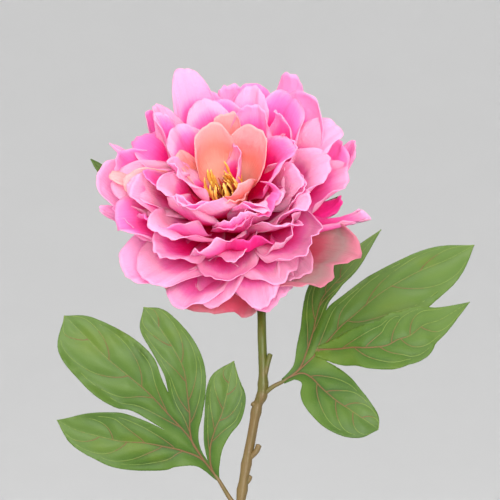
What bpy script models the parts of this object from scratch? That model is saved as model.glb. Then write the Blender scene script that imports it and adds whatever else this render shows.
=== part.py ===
"""A peony on a cut stem with two compound leaves, standing in a plain bud vase. Lengths are in millimetres."""
import math
import random

import bmesh
import bpy
from mathutils import Vector
from mathutils.geometry import delaunay_2d_cdt, interpolate_bezier

MM = 0.001
GAP = 0.3  # left between any two pieces

# Vase, a turned shape: height and radii of the outside
VASE_HEIGHT = 165.0
VASE_FOOT_RADIUS = 25.0
VASE_BELLY_RADIUS = 34.0
VASE_NECK_RADIUS = 12.5
VASE_LIP_RADIUS = 15.0
VASE_FOOT_ROUNDING = 1.5
VASE_WALL = 3.5
VASE_FLOOR = 5.0
VASE_FLOOR_ROUNDING = 4.0
VASE_STEPS = 40

# Stem and what branches from it
STEM_TOP_RADIUS = 2.0
STEM_FOOT_RADIUS = 2.4
STEM_SIDES = 10
PETIOLE_RADIUS = 1.35
STUB_RADIUS = 1.3
NECK_STRAIGHT = 17.0  # how far behind the flower's centre the stem has turned to its axis
NECK_MARGIN = 1.0  # kept between the stem's end and the receptacle, past the gap
STEM_FOOT_ACROSS = -8.0  # the stem leans: its foot stands left of the vase's axis
THROAT_SHARE = 0.90  # height of the neck's tightest place, as a share of the vase's height
THROAT_MARGIN = 1.5  # kept beside the stem, past the gap, where it leans in the neck

# Places on the plant are measured from the middle of the vase's lip
STEM_BENDS = (
    (9.4, 0, 25.5), (14.7, 0, 57), (17.6, 0, 72), (20, -1, 78), (20.5, -1, 88.5), (20, 1, 105.5),
    (19.8, 8, 117), (19.4, 17, 128), (18.4, 27, 139), (16.2, 35.5, 148.5), (12.8, 38.8, 155.8),
)
STUBS = (
    ((20.5, -1, 81), (22.2, -1.5, 91), (24, -2, 98)),
    ((18.3, 0, 71), (15.2, -1, 73.5)),
    ((12.8, 0, 45), (16.8, -1, 49), (18.4, -1, 52.5)),
    ((10.6, 0, 32), (13.2, 0.6, 35), (13.8, 0.6, 37)),
)
LEFT_PETIOLE = ((8.3, 0, 20), (3.5, 0, 26.5))
RIGHT_PETIOLE = ((20.2, -1, 77.5), (25, -2, 81.5))
BACK_PETIOLE = ((19.7, 8, 115.5), (17.2, 17, 124))

# Flower: where its receptacle sits, where it faces, and the shells that its petals lie on
FLOWER_CENTRE = (5.0, 20.8, 170.0)
FLOWER_AXIS = Vector((-0.19, -0.80, 0.57)).normalized()
RECEPTACLE_RADIUS = 10.0
HEAD_SIZE = 1.0  # multiplies every petal's length and width
PETAL_THICKNESS = 0.5
TURN_LENGTH = 56.0  # arc over which a shell turns from its first heading to its last
BASE_POLAR = (30.0, 150.0)  # innermost and outermost shell, degrees from the flower's axis
BASE_HEADING = (38.0, 112.0)
TIP_HEADING = (-14.0, 58.0)
CLAW_SHARE = 0.28  # width of a petal at its base, as a share of the full width
WIDEST_AT = 0.68
ROUND_TIP = 0.24  # how much shorter a petal is at its sides than in its middle
SEPAL_TIP = 0.04  # width of a sepal at its point, as a share of the full width
LINE_STEPS = 4  # pieces that a shell's line has for each row of a petal
SIDE_MARGIN = 3.0  # degrees kept free beside each petal of a ring
PETAL_COLUMNS = 6
PETAL_ROWS = 6
SEED = 7

# Rings of petals from the middle outwards: name, petals, shell, first azimuth, length, width, slot
RINGS = (
    ("cup_inner", 3, 0.00, 100, 40, 30, "salmon_petal"),
    ("cup_outer", 3, 0.07, 40, 44, 32, "salmon_petal"),
    ("core_inner", 3, 0.15, 20, 46, 30, "pink_petal"),
    ("core_outer", 4, 0.24, 60, 48, 31, "pink_petal"),
    ("middle_inner", 4, 0.33, 20, 51, 32, "pink_petal"),
    ("middle_centre", 4, 0.42, 50, 54, 34, "pink_petal"),
    ("middle_outer", 4, 0.52, 20, 57, 36, "pink_petal"),
    ("outer_inner", 5, 0.62, 50, 59, 37, "pink_petal"),
    ("outer_centre", 5, 0.73, 20, 61, 39, "pink_petal"),
    ("outer_outer", 5, 0.84, 40, 63, 41, "pink_petal"),
    ("guard", 5, 0.96, 10, 66, 45, "guard_petal"),
)
SEPAL_SHELL = 1.08
SEPALS = ((22, 52, 12), (88, 34, 11), (160, 34, 12), (228, 36, 12), (305, 34, 11))  # azimuth, length, width

STAMEN_RING = (11.0, 23.0)  # polar angles of the ring that carries the stamens
STAMEN_COUNT = 18
STAMEN_LENGTH = 22.0
PISTIL_POLAR = 8.0
PISTIL_LENGTH = 15.0
CUSHION_THICKNESS = 1.2

LEAF_THICKNESS = 0.7
LEAF_GRID = 6.0  # spacing of the points inside a leaf
RIB_FOLD = 0.10  # how much a blade rises beside its ribs

# Each lobe: its full width, then its rib from the leaf's base to the tip, across and up
LEFT_LEAF_BASE = (-2.0, -1.0, 35.5)
LEFT_LEAF_SLOPE = (0.12, -0.05, 0)  # depth gained for each step across, up, and up squared
LEFT_LEAF_LOBES = (
    (37, ((0, 0), (-14, 22), (-42, 50), (-56, 65), (-75.5, 82.5))),
    (29, ((0, 0), (-16, 15), (-47, 19.5), (-61, 23), (-79.5, 30.5))),
    (27, ((0, 0), (-13, 31), (-16, 56), (-25, 73), (-36, 87.5))),
    (25, ((0, 0), (-3, 9), (-0.5, 25), (6, 45), (9, 60))),
)
RIGHT_LEAF_BASE = (30.5, -3.0, 84.5)
RIGHT_LEAF_SLOPE = (-0.10, 0.30, 0.003)
RIGHT_LEAF_LOBES = (
    (30, ((0, 0), (25, 25), (54, 47), (76, 58), (98, 69))),
    (27, ((0, 0), (20, 15), (50, 19), (72, 29), (92.5, 40))),
    (17, ((0, 0), (13, 22), (18, 40), (32, 59), (50.5, 77))),
    (29, ((0, 0), (12, 4), (22, -6), (34, -14), (47, -23))),
)
BACK_LEAF_PATH = ((13, 36, 131), (2, 54, 140), (-32, 62, 161), (-66, 62, 194))
BACK_LEAF_WIDTH = 22.0


def clear_scene():
    for item in list(bpy.data.objects):
        bpy.data.objects.remove(item)


def material(name, colour, roughness):
    made = bpy.data.materials.new(name)
    made.use_nodes = True
    shader = made.node_tree.nodes["Principled BSDF"]
    shader.inputs["Base Color"].default_value = (*colour, 1)
    shader.inputs["Roughness"].default_value = roughness
    return made


def add_object(name, points, faces, finish):
    mesh = bpy.data.meshes.new(name)
    mesh.from_pydata([Vector(p) * MM for p in points], [], faces)
    mesh.shade_smooth()
    mesh.materials.append(finish)
    made = bpy.data.objects.new(name, mesh)
    bpy.context.scene.collection.objects.link(made)
    return made


def thicken(item, thickness):
    solid = item.modifiers.new("Thickness", "SOLIDIFY")
    solid.thickness = thickness * MM
    solid.offset = 0
    return item


def ease(value):
    value = min(max(value, 0), 1)
    return value * value * (3 - 2 * value)


def between(pair, share):
    return pair[0] + (pair[1] - pair[0]) * share


def sample_curve(points, steps):
    """A smooth line through the points, as steps pieces between each two."""
    ends = [2 * points[0] - points[1], *points, 2 * points[-1] - points[-2]]
    line = []
    for before, start, stop, after in zip(ends, ends[1:], ends[2:], ends[3:]):
        first = start + (stop - before) / 6
        second = stop - (after - start) / 6
        line += interpolate_bezier(start.to_3d(), first.to_3d(), second.to_3d(), stop.to_3d(), steps + 1)[:-1]
    return line + [points[-1].to_3d()]


# --- turned shapes ---------------------------------------------------------------------------------

def turn_faces(rows, steps):
    """Faces of a turned skin whose first and last rows are single points."""
    faces = []
    last = 1 + (rows - 2) * steps
    for k in range(steps):
        after = (k + 1) % steps
        faces.append((0, 1 + after, 1 + k))
        for row in range(rows - 3):
            low = 1 + row * steps
            high = low + steps
            faces.append((low + k, low + after, high + after, high + k))
        top = 1 + (rows - 3) * steps
        faces.append((top + k, top + after, last))
    return faces


def turn(profile, steps):
    """Points and faces of a profile of (radius, height) turned round the Z axis. Its ends lie on the axis."""
    points = [(0, 0, profile[0][1])]
    for radius, height in profile[1:-1]:
        for k in range(steps):
            angle = math.tau * k / steps
            points.append((radius * math.cos(angle), radius * math.sin(angle), height))
    points.append((0, 0, profile[-1][1]))
    return points, turn_faces(len(profile), steps)


def vase_outside():
    """Radius and height of the vase's outside, from the foot to the lip."""
    turns = (
        (0.00, VASE_FOOT_RADIUS - VASE_FOOT_ROUNDING),
        (0.01, VASE_FOOT_RADIUS),
        (0.10, between((VASE_FOOT_RADIUS, VASE_BELLY_RADIUS), 0.55)),
        (0.22, between((VASE_FOOT_RADIUS, VASE_BELLY_RADIUS), 0.91)),
        (0.32, VASE_BELLY_RADIUS),
        (0.44, between((VASE_BELLY_RADIUS, VASE_NECK_RADIUS), 0.17)),
        (0.55, between((VASE_BELLY_RADIUS, VASE_NECK_RADIUS), 0.48)),
        (0.66, between((VASE_BELLY_RADIUS, VASE_NECK_RADIUS), 0.85)),
        (0.78, VASE_NECK_RADIUS),
        (THROAT_SHARE, VASE_NECK_RADIUS),
        (0.97, between((VASE_NECK_RADIUS, VASE_LIP_RADIUS), 0.62)),
        (0.995, VASE_LIP_RADIUS),
    )
    return [(radius, share * VASE_HEIGHT) for share, radius in turns]


def vase_inside():
    """Radius and height of the vase's inside, from the lip to the floor."""
    rising = [(radius - VASE_WALL, height) for radius, height in vase_outside() if height > VASE_FLOOR]
    return rising[::-1]


def bore_radius(height):
    """Radius of the vase's inside at this height."""
    rows = vase_inside()[::-1]
    for (low, start), (high, stop) in zip(rows, rows[1:]):
        if start <= height <= stop:
            return between((low, high), (height - start) / (stop - start))
    return rows[0][0] if height < rows[0][1] else rows[-1][0]


def build_vase(finish):
    inside = vase_inside()
    lip = [(between((inside[0][0], VASE_LIP_RADIUS), 0.5), VASE_HEIGHT)]
    floor = [(inside[-1][0] - VASE_FLOOR_ROUNDING, VASE_FLOOR)]
    profile = [(0, 0), *vase_outside(), *lip, *inside, *floor, (0, VASE_FLOOR)]
    add_object("vase", *turn(profile, VASE_STEPS), finish)


# --- stem ------------------------------------------------------------------------------------------

def tube(path, radii, sides):
    """Points and faces of a closed tube along a path, with rounded ends."""
    start = path[0] + (path[0] - path[1]).normalized() * radii[0] * 0.4
    stop = path[-1] + (path[-1] - path[-2]).normalized() * radii[-1] * 0.4
    points = [start]
    side = Vector((1, 0, 0))
    for index, (centre, radius) in enumerate(zip(path, radii)):
        ahead = path[min(index + 1, len(path) - 1)] - path[max(index - 1, 0)]
        ahead.normalize()
        side = (side - ahead * side.dot(ahead)).normalized()
        other = ahead.cross(side)
        for k in range(sides):
            angle = math.tau * k / sides
            points.append(centre + radius * (math.cos(angle) * side + math.sin(angle) * other))
    points.append(stop)
    return points, turn_faces(len(path) + 2, sides)


def above_lip(place):
    """A place on the plant in the object's own frame."""
    return Vector(place) + Vector((0, 0, VASE_HEIGHT))


def stem_path():
    """Centre line of the stem, from its foot in the vase to the back of the flower."""
    throat_height = THROAT_SHARE * VASE_HEIGHT
    leaning = bore_radius(throat_height) - STEM_FOOT_RADIUS - GAP - THROAT_MARGIN
    throat = Vector((leaning, 0, throat_height))
    halfway = Vector((between((STEM_FOOT_ACROSS, leaning), 0.7), 0, 0.6 * VASE_HEIGHT))
    foot = Vector((STEM_FOOT_ACROSS, 0, VASE_FLOOR + GAP + STEM_FOOT_RADIUS))
    neck = [in_flower(0, 0, -far) for far in (NECK_STRAIGHT, RECEPTACLE_RADIUS + GAP + NECK_MARGIN)]
    return [foot, halfway, throat, *map(above_lip, STEM_BENDS), *neck]


def petiole(places, leaf_base, reach):
    """Path of a leaf's stalk, which stops a little short of the leaf, along the way it was going."""
    path = [above_lip(place) for place in places]
    end = above_lip(leaf_base)
    return path + [end + (path[-1] - end).normalized() * reach]


def build_stem(finish):
    line = sample_curve(stem_path(), 2)
    radii = [between((STEM_FOOT_RADIUS, STEM_TOP_RADIUS), k / (len(line) - 1)) for k in range(len(line))]
    stem = add_object("stem", *tube(line, radii, STEM_SIDES), finish)
    reach = PETIOLE_RADIUS + GAP
    branches = [
        (petiole(LEFT_PETIOLE, LEFT_LEAF_BASE, reach), PETIOLE_RADIUS),
        (petiole(RIGHT_PETIOLE, RIGHT_LEAF_BASE, reach), PETIOLE_RADIUS),
        (petiole(BACK_PETIOLE, BACK_LEAF_PATH[0], reach), PETIOLE_RADIUS),
        *(([above_lip(place) for place in stub], STUB_RADIUS) for stub in STUBS),
    ]
    for index, (path, radius) in enumerate(branches):
        branch = add_object(f"branch_{index + 1}", *tube(path, [radius] * len(path), STEM_SIDES - 2), finish)
        branch.hide_render = True
        branch.display_type = "WIRE"
        join = stem.modifiers.new(branch.name, "BOOLEAN")
        join.operation = "UNION"
        join.solver = "EXACT"
        join.object = branch


# --- flower ----------------------------------------------------------------------------------------

def flower_space():
    """The flower's directions to its right, upwards and outwards."""
    upward = (Vector((0, 0, 1)) - FLOWER_AXIS * FLOWER_AXIS.z).normalized()
    return upward.cross(FLOWER_AXIS), upward, FLOWER_AXIS


def in_flower(across, high, out):
    right, upward, axis = flower_space()
    return above_lip(FLOWER_CENTRE) + right * across + upward * high + axis * out


def shell_line(shell, length, rows):
    """Radius and height of a shell at each row, from the receptacle outwards."""
    polar = math.radians(between(BASE_POLAR, shell))
    radius = RECEPTACLE_RADIUS * math.sin(polar)
    height = RECEPTACLE_RADIUS * math.cos(polar)
    fine = 8
    step = length / (rows * fine)
    line = [(radius, height)]
    for k in range(rows * fine):
        share = (k + 0.5) * step / (TURN_LENGTH * HEAD_SIZE)
        turned = ease(share / 2) + 0.5 * min(share, 1.3)
        heading = math.radians(between((between(BASE_HEADING, shell), between(TIP_HEADING, shell)), turned))
        radius += step * math.sin(heading)
        height += step * math.cos(heading)
        if (k + 1) % fine == 0:
            line.append((radius, height))
    return line


def petal_half_width(share, pointed):
    claw = CLAW_SHARE + (1 - CLAW_SHARE) * ease(share / WIDEST_AT)
    if pointed:
        return claw * (1 - ease((share - 0.45) / 0.55)) + SEPAL_TIP
    return claw * (1 - 0.3 * ease((share - WIDEST_AT) / WIDEST_AT))


def petal(name, shell, azimuth, length, width, widest_angle, finish, pointed=False):
    """One petal on a shell turned round the flower's axis, as a closed thin solid."""
    length *= HEAD_SIZE
    width *= HEAD_SIZE
    line = shell_line(shell, length, PETAL_ROWS * LINE_STEPS)
    points = []
    for row in range(PETAL_ROWS + 1):
        share = row / PETAL_ROWS
        for column in range(PETAL_COLUMNS + 1):
            across = 2 * column / PETAL_COLUMNS - 1
            reach = share * (1 - (0 if pointed else ROUND_TIP) * abs(across) ** 2.4)
            place = reach * PETAL_ROWS * LINE_STEPS
            low = min(int(place), len(line) - 2)
            radius, height = (between(pair, place - low) for pair in zip(line[low], line[low + 1]))
            spread = math.degrees(width / 2 * petal_half_width(share, pointed) / radius)
            angle = math.radians(azimuth + across * min(spread, widest_angle))
            points.append(in_flower(radius * math.cos(angle), radius * math.sin(angle), height))
    wide = PETAL_COLUMNS + 1
    faces = [
        (row * wide + k, row * wide + k + 1, (row + 1) * wide + k + 1, (row + 1) * wide + k)
        for row in range(PETAL_ROWS)
        for k in range(PETAL_COLUMNS)
    ]
    return thicken(add_object(name, points, faces, finish), PETAL_THICKNESS)


def build_petals(finishes):
    chance = random.Random(SEED)
    for ring, count, shell, start, length, width, slot in RINGS:
        for k in range(count):
            azimuth = start + 360 * k / count
            length_here = length * chance.uniform(0.94, 1.06)
            name = f"petal_{ring}_{k + 1}"
            petal(name, shell, azimuth, length_here, width, 180 / count - SIDE_MARGIN, finishes[slot])


def build_sepals(finish):
    for k, (azimuth, length, width) in enumerate(SEPALS):
        petal(f"sepal_{k + 1}", SEPAL_SHELL, azimuth, length, width, 30, finish, pointed=True)


def build_receptacle(finish):
    rows = 10
    radius = RECEPTACLE_RADIUS - PETAL_THICKNESS - GAP
    profile = [(0, -radius)]
    for k in range(1, rows):
        polar = math.pi * k / rows
        profile.append((radius * math.sin(polar), -radius * math.cos(polar)))
    points, faces = turn(profile + [(0, radius)], 20)
    add_object("receptacle", [in_flower(*p) for p in points], faces, finish)


def cushion_point(polar, azimuth, radius):
    polar = math.radians(polar)
    flat = radius * math.sin(polar)
    return Vector((flat * math.cos(azimuth), flat * math.sin(azimuth), radius * math.cos(polar)))


def cushion(bounds, count, rows):
    """A thin ring or cap on top of the receptacle. Returns its points, its faces and how many are on top."""
    low = RECEPTACLE_RADIUS - PETAL_THICKNESS
    points = []
    for radius in (low + CUSHION_THICKNESS, low):
        for row in range(rows + 1):
            for k in range(count):
                points.append(cushion_point(between(bounds, row / rows), math.tau * k / count, radius))
    layer = (rows + 1) * count
    top = []
    rest = []
    for k in range(count):
        after = (k + 1) % count
        for row in range(rows):
            inner = row * count
            outer = inner + count
            top.append((inner + k, outer + k, outer + after, inner + after))
            rest.append((layer + inner + after, layer + outer + after, layer + outer + k, layer + inner + k))
        rest.append((k, after, layer + after, layer + k))
        edge = rows * count
        rest.append((edge + after, edge + k, layer + edge + k, layer + edge + after))
    return points, top + rest, len(top)


def grow(name, bounds, count, rows, length, sizes, spread, finish):
    """Threads that rise from every face on top of a cushion, all in one closed body."""
    points, faces, top = cushion(bounds, count, rows)
    shape = bmesh.new()
    corners = [shape.verts.new(p) for p in points]
    made = [shape.faces.new([corners[k] for k in face]) for face in faces]
    chance = random.Random(SEED)
    for face in made[:top]:
        outward = face.calc_center_median()
        outward.z = 0
        outward.normalize()
        reach = length * chance.uniform(0.8, 1.1)
        sway = Vector((chance.uniform(-1, 1), chance.uniform(-1, 1), 0)) * 0.05
        tip = bmesh.ops.extrude_discrete_faces(shape, faces=[face])["faces"][0]
        for step, size in enumerate(sizes):
            if step:
                tip = bmesh.ops.extrude_discrete_faces(shape, faces=[tip])["faces"][0]
            rise = reach / len(sizes)
            shift = (outward * spread + sway) * rise + Vector((0, 0, rise))
            centre = tip.calc_center_median()
            for corner in tip.verts:
                corner.co = centre + (corner.co - centre) * size + shift
    points = [in_flower(*corner.co) for corner in shape.verts]
    shape.verts.index_update()
    faces = [[corner.index for corner in face.verts] for face in shape.faces]
    shape.free()
    add_object(name, points, faces, finish)


def build_middle(stamen_finish, pistil_finish):
    grow("stamens", STAMEN_RING, STAMEN_COUNT, 1, STAMEN_LENGTH, (0.42, 1, 1, 1.6, 0.7), 0.16, stamen_finish)
    grow("pistils", (3.0, PISTIL_POLAR), 5, 1, PISTIL_LENGTH, (0.75, 1, 0.9, 0.8), 0.10, pistil_finish)


# --- leaves ----------------------------------------------------------------------------------------

def blade_width(share):
    """Half-width of a lobe along its rib, as a share of its full half-width."""
    return math.sin(math.pi * share ** 0.85) ** 0.8 if 0 < share < 1 else 0


def lobe_outline(width, rib):
    line = sample_curve([Vector(p) for p in rib], 4)
    last = len(line) - 1
    left = []
    right = []
    for k in range(1, last):
        ahead = (line[k + 1] - line[k - 1]).normalized()
        side = Vector((-ahead.y, ahead.x, 0)) * width / 2 * blade_width(k / last)
        left.append(line[k] + side)
        right.append(line[k] - side)
    return [p.to_2d() for p in [line[0], *right, line[-1], *left[::-1]]]


def rib_distance(place, ribs):
    """How far a point is from the nearest rib."""
    nearest = math.inf
    for line in ribs:
        for start, stop in zip(line, line[1:]):
            run = stop - start
            share = min(max((place - start).dot(run) / run.length_squared, 0), 1)
            nearest = min(nearest, (place - start - run * share).length)
    return nearest


def build_leaf(name, base, slope, lobes, finish):
    """A compound leaf cut from one sheet: lobe outlines merged flat, then folded and sloped in depth."""
    base = above_lip(base)
    ribs = [[p.to_2d() for p in sample_curve([Vector(p) for p in rib], 4)] for _, rib in lobes]
    flat = []
    rings = []
    for width, rib in lobes:
        outline = lobe_outline(width, rib)
        rings.append(list(range(len(flat), len(flat) + len(outline))))
        flat += outline
    low = [min(p[k] for p in flat) for k in (0, 1)]
    high = [max(p[k] for p in flat) for k in (0, 1)]
    across, upward = (int((high[k] - low[k]) / LEAF_GRID) for k in (0, 1))
    inner = [
        Vector((low[0] + (column + 0.5 * (row % 2)) * LEAF_GRID, low[1] + row * LEAF_GRID))
        for row in range(upward + 1)
        for column in range(across + 1)
    ]
    spots, _, faces, _, _, _ = delaunay_2d_cdt(flat + inner, [], rings, 1, 0.4)
    used = sorted({k for face in faces for k in face})
    renumber = {old: new for new, old in enumerate(used)}
    points = []
    for k in used:
        across, upward = spots[k]
        fold = RIB_FOLD * rib_distance(spots[k], ribs)
        depth = slope[0] * across + slope[1] * upward + slope[2] * upward * abs(upward)
        points.append(base + Vector((across, depth - fold, upward)))
    leaf = add_object(name, points, [[renumber[k] for k in face] for face in faces], finish)
    return thicken(leaf, LEAF_THICKNESS)


def build_back_leaf(finish):
    """The narrow leaf behind the flower, whose tip shows past the petals."""
    line = interpolate_bezier(*map(above_lip, BACK_LEAF_PATH), 10)
    points = []
    for k, centre in enumerate(line):
        ahead = (line[min(k + 1, 9)] - line[max(k - 1, 0)]).normalized()
        side = ahead.cross(FLOWER_AXIS).normalized()
        half = BACK_LEAF_WIDTH / 2 * (blade_width(k / 9) + 0.05)
        for share in (-1, -0.5, 0, 0.5, 1):
            points.append(centre + side * half * share)
    faces = [(5 * row + k, 5 * row + k + 1, 5 * row + k + 6, 5 * row + k + 5) for row in range(9) for k in range(4)]
    thicken(add_object("leaf_back", points, faces, finish), LEAF_THICKNESS)


def main():
    clear_scene()
    leaf_green = material("leaf", (0.19, 0.33, 0.09), 0.6)
    petals = {
        "salmon_petal": material("salmon_petal", (0.90, 0.45, 0.32), 0.8),
        "pink_petal": material("pink_petal", (0.90, 0.22, 0.46), 0.8),
        "guard_petal": material("guard_petal", (0.78, 0.33, 0.42), 0.8),
    }
    build_vase(material("vase", (0.80, 0.78, 0.74), 0.25))
    build_stem(material("stem", (0.24, 0.19, 0.06), 0.6))
    build_petals(petals)
    build_sepals(material("sepal", (0.20, 0.33, 0.10), 0.7))
    build_receptacle(material("receptacle", (0.30, 0.35, 0.14), 0.7))
    build_middle(material("stamen", (0.90, 0.48, 0.08), 0.6), material("pistil", (0.45, 0.16, 0.08), 0.6))
    build_leaf("leaf_left", LEFT_LEAF_BASE, LEFT_LEAF_SLOPE, LEFT_LEAF_LOBES, leaf_green)
    build_leaf("leaf_right", RIGHT_LEAF_BASE, RIGHT_LEAF_SLOPE, RIGHT_LEAF_LOBES, leaf_green)
    build_back_leaf(leaf_green)


main()
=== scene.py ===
"""A full pink peony on a moulded stem, with lobed cloth leaves, standing in a plain glazed bud vase."""

import math
import random

import bmesh
import bpy
from mathutils import Matrix, Vector, kdtree, noise
from mathutils.geometry import delaunay_2d_cdt, interpolate_bezier


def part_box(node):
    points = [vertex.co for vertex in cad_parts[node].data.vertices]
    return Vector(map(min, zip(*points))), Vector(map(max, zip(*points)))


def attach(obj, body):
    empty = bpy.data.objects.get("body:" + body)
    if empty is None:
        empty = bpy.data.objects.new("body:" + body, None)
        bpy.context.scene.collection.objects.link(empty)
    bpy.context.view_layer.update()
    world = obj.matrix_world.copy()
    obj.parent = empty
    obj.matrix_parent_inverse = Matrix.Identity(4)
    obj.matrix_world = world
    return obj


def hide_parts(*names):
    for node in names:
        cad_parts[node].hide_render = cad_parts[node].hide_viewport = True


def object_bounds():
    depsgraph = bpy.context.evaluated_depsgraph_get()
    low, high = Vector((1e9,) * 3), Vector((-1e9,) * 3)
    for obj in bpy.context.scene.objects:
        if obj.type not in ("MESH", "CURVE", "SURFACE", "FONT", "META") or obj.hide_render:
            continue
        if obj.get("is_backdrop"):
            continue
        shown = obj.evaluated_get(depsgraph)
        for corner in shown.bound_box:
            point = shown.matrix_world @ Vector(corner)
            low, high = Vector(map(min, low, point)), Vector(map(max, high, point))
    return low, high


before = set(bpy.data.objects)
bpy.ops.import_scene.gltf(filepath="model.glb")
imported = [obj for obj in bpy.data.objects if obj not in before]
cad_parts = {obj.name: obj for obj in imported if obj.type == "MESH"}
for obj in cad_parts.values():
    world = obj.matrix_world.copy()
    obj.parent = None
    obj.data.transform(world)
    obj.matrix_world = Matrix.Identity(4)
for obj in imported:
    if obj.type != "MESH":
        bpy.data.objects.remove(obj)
CAD_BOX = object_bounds()
MM = 0.001


def middle_of(node):
    low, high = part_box(node)
    return (Vector(low) + Vector(high)) / 2


VASE_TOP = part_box("vase")[1][2]
LIP = Vector((0, 0, VASE_TOP))
FLOWER_CENTRE = middle_of("receptacle")

# The flower's own space, lengths in millimetres
FLOWER_AXIS = Vector((-0.19, -0.80, 0.57)).normalized()
RECEPTACLE_RADIUS = 10.0
TURN_LENGTH = 56.0
BASE_POLAR = (30.0, 150.0)
BASE_HEADING = (38.0, 112.0)
TIP_HEADING = (-14.0, 58.0)
PETAL_CLOTH = 0.32
PETAL_LETS_THROUGH = 0.6
PETAL_COLUMNS = 22
PETAL_ROWS = 24

# Rings of petals from the middle outwards:
# name, petals, shell, first azimuth, length, width, slot
RINGS = (
    ("cup_inner", 3, 0.00, 100, 40, 26, "salmon_petal"),
    ("cup_outer", 3, 0.07, 40, 43, 30, "salmon_petal"),
    ("core_inner", 3, 0.15, 20, 45, 28, "pink_petal"),
    ("core_outer", 4, 0.24, 60, 48, 29, "pink_petal"),
    ("middle_inner", 4, 0.33, 20, 51, 30, "pink_petal"),
    ("middle_centre", 4, 0.42, 50, 54, 32, "pink_petal"),
    ("middle_outer", 4, 0.52, 20, 57, 33, "pink_petal"),
    ("outer_inner", 5, 0.62, 50, 60, 33, "pink_petal"),
    ("outer_centre", 5, 0.73, 20, 62, 34, "pink_petal"),
    ("outer_outer", 5, 0.84, 40, 63, 35, "pink_petal"),
    ("guard", 5, 0.96, 10, 66, 44, "guard_petal"),
)
# Below the flower's middle, petals on shells inside this one close up and those outside it hang down
OPEN_FROM_SHELL = 0.55
# Rings that get as many petals again, half a step further round and a little further out
FILLED_SHELL_STEP = 0.045
FILLED_RINGS = ("core_inner", "core_outer", "middle_inner", "middle_centre", "middle_outer", "outer_inner",
                "outer_centre", "outer_outer")
SEPAL_SHELL = 1.08
SEPALS = ((22, 52, 12), (88, 34, 11), (160, 34, 12), (228, 36, 12), (305, 34, 11))  # azimuth, length, width

# Leaves, in millimetres. Each lobe: its rib from the leaf's base, its half widths to the left and
# the right at every eighth of the rib, and where its first side vein leaves
LEAF_CLOTH = 0.35
LEAF_SPACING = 1.3
RIB_FOLD = 0.13
QUILT = 0.8
VEIN_STEP = 0.088
RIB_RADII = (0.6, 0.3)
VEIN_RADII = (0.37, 0.27)
LEFT_LEAF_BASE = (-2.0, -1.0, 35.5)
LEFT_LEAF_SLOPE = (0.12, -0.05, 0)  # depth gained for each step across, up, and up squared
LEFT_LOBES = (
    (((0, 0), (-8, 11), (-15, 22), (-24, 32), (-34, 43), (-42, 50), (-55, 61), (-69, 75), (-76, 82)),
     (1.0, 2.0, 4.0, 7.5, 12.0, 16.6, 17.5, 14.0), (1.0, 1.5, 1.8, 4.4, 9.4, 15.2, 15.6, 9.0), 0.30),
    (((0, 0), (-8, 10), (-18, 14.5), (-24, 16), (-36, 18.5), (-48, 19.5), (-57, 21.5), (-70, 25), (-80, 30)),
     (1.0, 4.2, 8.4, 11.4, 14.1, 13.5, 11.7, 7.6), (1.0, 1.6, 2.0, 6.6, 10.6, 14.0, 13.0, 8.6), 0.24),
    (((-8, 11), (-12.5, 18), (-14, 25), (-14, 32), (-15, 41), (-17, 55), (-23, 67), (-32, 80), (-37, 86)),
     (1.0, 1.4, 3.2, 5.9, 8.8, 9.9, 10.0, 8.2), (1.0, 3.2, 4.6, 6.2, 8.8, 10.6, 10.6, 7.4), 0.22),
    (((0, 0), (-3, 5), (-4, 11), (-3.5, 18), (-1, 26), (2, 33), (4.5, 43), (6, 51), (8, 59)),
     (0.8, 0.8, 1.5, 3.5, 6.3, 8.9, 10.3, 8.6), (0.8, 4.0, 5.4, 6.6, 8.2, 10.2, 9.6, 4.8), 0.30),
)
RIGHT_LEAF_BASE = (30.5, -3.0, 84.5)
RIGHT_LEAF_SLOPE = (-0.10, 0.30, 0.003)
RIGHT_LOBES = (
    (((0, 0), (6, 4), (13, 10), (20, 17), (28, 26), (35, 32), (50, 44), (68, 54), (85, 61), (98, 68)),
     (1.4, 2.8, 4.2, 8.0, 11.4, 10.6, 9.5, 8.0), (1.2, 2.8, 4.6, 9.5, 14.5, 17.5, 17.9, 11.5), 0.26),
    (((0, 0), (8, 6), (12, 15), (15, 24), (17, 32), (20, 41), (26, 48), (30, 52), (38, 61), (51, 76)),
     (1.2, 3.8, 5.9, 6.8, 8.1, 9.6, 8.6, 6.2), (0.8, 1.0, 1.4, 3.2, 3.8, 3.8, 3.2, 3.6), 0.24),
    (((3, 2), (9, 4), (14, 2), (19, -3), (26, -9), (32, -13), (38, -17), (44, -21), (47, -23.5)),
     (1.0, 5.0, 10.5, 13.0, 13.4, 11.4, 9.0, 5.4), (0.8, 4.6, 9.0, 12.2, 13.8, 13.6, 11.8, 7.2), 0.24),
)
FRONT_LOBE = (
    ((16, 15.5), (27, 16), (35, 17), (42, 17), (51, 18), (57, 21), (63, 23), (70, 28), (79, 31),
     (93.5, 39.5)),
    (1.4, 6.0, 9.8, 12.6, 12.9, 13.7, 11.1, 7.0), (3.0, 8.0, 9.0, 10.6, 12.7, 13.2, 12.0, 7.2), 0.14,
)
FRONT_LOBE_AHEAD = 7.0
BACK_LEAF_PATH = ((13, 36, 131), (2, 54, 140), (-32, 62, 161), (-70, 62, 197.5))
BACK_LEAF_WIDTH = 22.0

# The stem, in millimetres. Its places are measured above the middle of the vase's lip
STEM_FOOT_ACROSS = -8.0
THROAT_ACROSS = 6.0
STEM_RADII = (2.4, 2.0)
STEM_BENDS = (
    (9.4, 0, 25.5), (14.7, 0, 57), (17.6, 0, 72), (20, -1, 78), (20.5, -1, 88.5), (20, 1, 105.5),
    (19.8, 8, 117), (19.4, 17, 128), (18.4, 27, 139), (16.2, 35.5, 148.5), (12.8, 38.8, 155.8),
)
STEM_KNOTS = ((19.6, -1, 77), (17, 0, 69), (12.2, 0, 42), (10.2, 0, 30), (20.4, -1, 83))
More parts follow.
